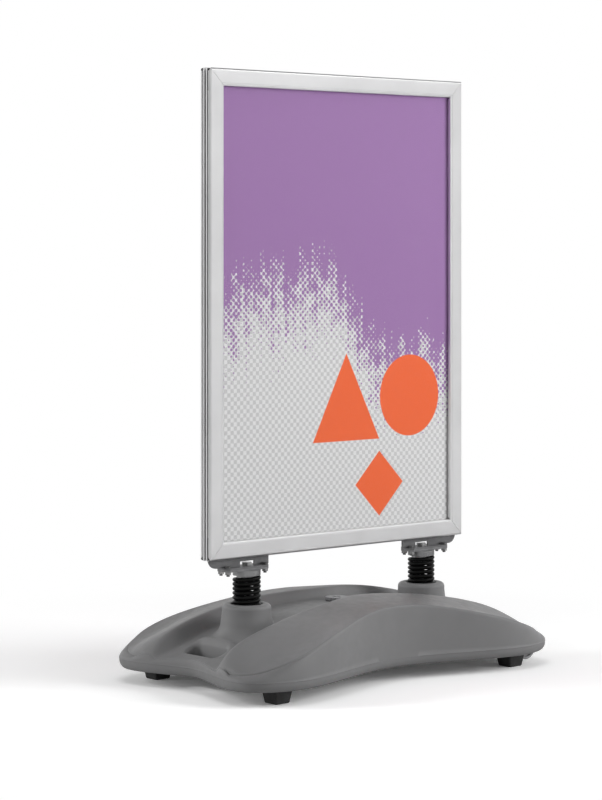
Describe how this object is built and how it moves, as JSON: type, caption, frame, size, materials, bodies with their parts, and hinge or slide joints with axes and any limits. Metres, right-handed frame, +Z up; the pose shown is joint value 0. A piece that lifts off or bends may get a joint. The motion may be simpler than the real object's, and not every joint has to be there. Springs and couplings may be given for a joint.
{
  "type": "pavement poster sign",
  "caption": "Free-standing double-sided poster sign: snap frames back to back on coil springs over a fillable moulded base.",
  "frame": {"origin": "on the ground under the middle of the base", "axes": "+X along the panel, +Y through it from the front face to the back face, +Z up"},
  "size_m": [0.7642, 0.4538, 1.122],
  "materials": {
    "tank_plastic": "moulded polyethylene, soft satin",
    "foot_rubber": "matt black rubber",
    "wheel_plastic": "grey plastic",
    "cap_plastic": "grey plastic",
    "gasket_rubber": "black rubber",
    "spring_steel_black": "black powder coat",
    "seat_plastic": "black plastic",
    "bright_zinc": "turned and zinc plated",
    "plate_zinc": "zinc plated sheet",
    "bracket_steel": "dark plated sheet",
    "fastener_zinc": "zinc plated",
    "backing_plastic": "white plastic sheet",
    "poster_paper": "printed paper",
    "cover_clear": "clear anti-glare sheet",
    "anodised_aluminium": "satin silver anodised",
    "key_plastic": "black plastic",
    "leaf_steel": "spring steel",
    "spacer_plastic": "black foam plastic"
  },
  "bodies": {
    "base": {"base_tank": "tank_plastic", "foot_left_front": "foot_rubber", "foot_right_front": "foot_rubber", "foot_left_back": "foot_rubber", "foot_right_back": "foot_rubber", "axle_front": "fastener_zinc", "axle_back": "fastener_zinc", "filler_bush": "seat_plastic", "spring_left": "spring_steel_black", "spring_right": "spring_steel_black", "spring_seat_left": "seat_plastic", "spring_seat_right": "seat_plastic", "base_bolt_left": "fastener_zinc", "base_bolt_right": "fastener_zinc"},
    "wheel_front": {"wheel_front": "wheel_plastic"},
    "wheel_back": {"wheel_back": "wheel_plastic"},
    "filler_gasket": {"filler_gasket": "gasket_rubber"},
    "filler_cap": {"filler_cap": "cap_plastic"},
    "panel": {"spring_head_left": "bright_zinc", "spring_head_right": "bright_zinc", "spring_plate_left": "plate_zinc", "spring_plate_right": "plate_zinc", "bracket_left": "bracket_steel", "bracket_right": "bracket_steel", "plate_bolts_left": "fastener_zinc", "plate_bolts_right": "fastener_zinc", "plate_nuts_left": "fastener_zinc", "plate_nuts_right": "fastener_zinc", "head_bolt_left": "fastener_zinc", "head_bolt_right": "fastener_zinc", "backing_front": "backing_plastic", "backing_back": "backing_plastic", "poster_front": "poster_paper", "poster_back": "poster_paper", "cover_front": "cover_clear", "cover_back": "cover_clear", "fixed_front_bottom": "anodised_aluminium", "fixed_front_right": "anodised_aluminium", "fixed_front_top": "anodised_aluminium", "fixed_front_left": "anodised_aluminium", "fixed_back_bottom": "anodised_aluminium", "fixed_back_right": "anodised_aluminium", "fixed_back_top": "anodised_aluminium", "fixed_back_left": "anodised_aluminium", "corner_keys_front": "key_plastic", "corner_keys_back": "key_plastic", "snap_springs_front": "leaf_steel", "snap_springs_back": "leaf_steel", "panel_spacers": "spacer_plastic", "frame_screws": "fastener_zinc", "frame_nuts": "fastener_zinc"},
    "snap_front_bottom": {"snap_front_bottom": "anodised_aluminium"},
    "snap_front_right": {"snap_front_right": "anodised_aluminium"},
    "snap_front_top": {"snap_front_top": "anodised_aluminium"},
    "snap_front_left": {"snap_front_left": "anodised_aluminium"},
    "snap_back_bottom": {"snap_back_bottom": "anodised_aluminium"},
    "snap_back_right": {"snap_back_right": "anodised_aluminium"},
    "snap_back_top": {"snap_back_top": "anodised_aluminium"},
    "snap_back_left": {"snap_back_left": "anodised_aluminium"}
  },
  "joints": [
    {"name": "panel_sway", "type": "hinge", "parent": "base", "child": "panel", "pos_m": [0, 0, 0.17], "axis": [1, 0, 0], "range_deg": [-20, 20], "stiffness_Nm_per_rad": 180, "deforming": ["spring_left", "spring_right"]},
    {"name": "snap_front_bottom_hinge", "type": "hinge", "parent": "panel", "child": "snap_front_bottom", "pos_m": [0, -0.0105, 0.2395], "axis": [1, 0, 0], "range_deg": [0, 95]},
    {"name": "snap_front_top_hinge", "type": "hinge", "parent": "panel", "child": "snap_front_top", "pos_m": [0, -0.0105, 1.1175], "axis": [-1, 0, 0], "range_deg": [0, 95]},
    {"name": "snap_front_right_hinge", "type": "hinge", "parent": "panel", "child": "snap_front_right", "pos_m": [0.3155, -0.0105, 0.6785], "axis": [0, 0, 1], "range_deg": [0, 95]},
    {"name": "snap_front_left_hinge", "type": "hinge", "parent": "panel", "child": "snap_front_left", "pos_m": [-0.3155, -0.0105, 0.6785], "axis": [0, 0, -1], "range_deg": [0, 95]},
    {"name": "snap_back_bottom_hinge", "type": "hinge", "parent": "panel", "child": "snap_back_bottom", "pos_m": [0, 0.0105, 0.2395], "axis": [-1, 0, 0], "range_deg": [0, 95]},
    {"name": "snap_back_top_hinge", "type": "hinge", "parent": "panel", "child": "snap_back_top", "pos_m": [0, 0.0105, 1.1175], "axis": [1, 0, 0], "range_deg": [0, 95]},
    {"name": "snap_back_right_hinge", "type": "hinge", "parent": "panel", "child": "snap_back_right", "pos_m": [0.3155, 0.0105, 0.6785], "axis": [0, 0, -1], "range_deg": [0, 95]},
    {"name": "snap_back_left_hinge", "type": "hinge", "parent": "panel", "child": "snap_back_left", "pos_m": [-0.3155, 0.0105, 0.6785], "axis": [0, 0, 1], "range_deg": [0, 95]},
    {"name": "wheel_front_spin", "type": "hinge", "parent": "base", "child": "wheel_front", "pos_m": [0.349, -0.152, 0.031], "axis": [0, 1, 0], "continuous": true},
    {"name": "wheel_back_spin", "type": "hinge", "parent": "base", "child": "wheel_back", "pos_m": [0.349, 0.152, 0.031], "axis": [0, 1, 0], "continuous": true},
    {"name": "cap_lift", "type": "slide", "parent": "base", "child": "filler_gasket", "axis": [0, 0, 1], "range_m": [0, 0.02]},
    {"name": "cap_turn", "type": "hinge", "parent": "filler_gasket", "child": "filler_cap", "pos_m": [0, 0, 0.137], "axis": [0, 0, 1], "continuous": true}
  ]
}
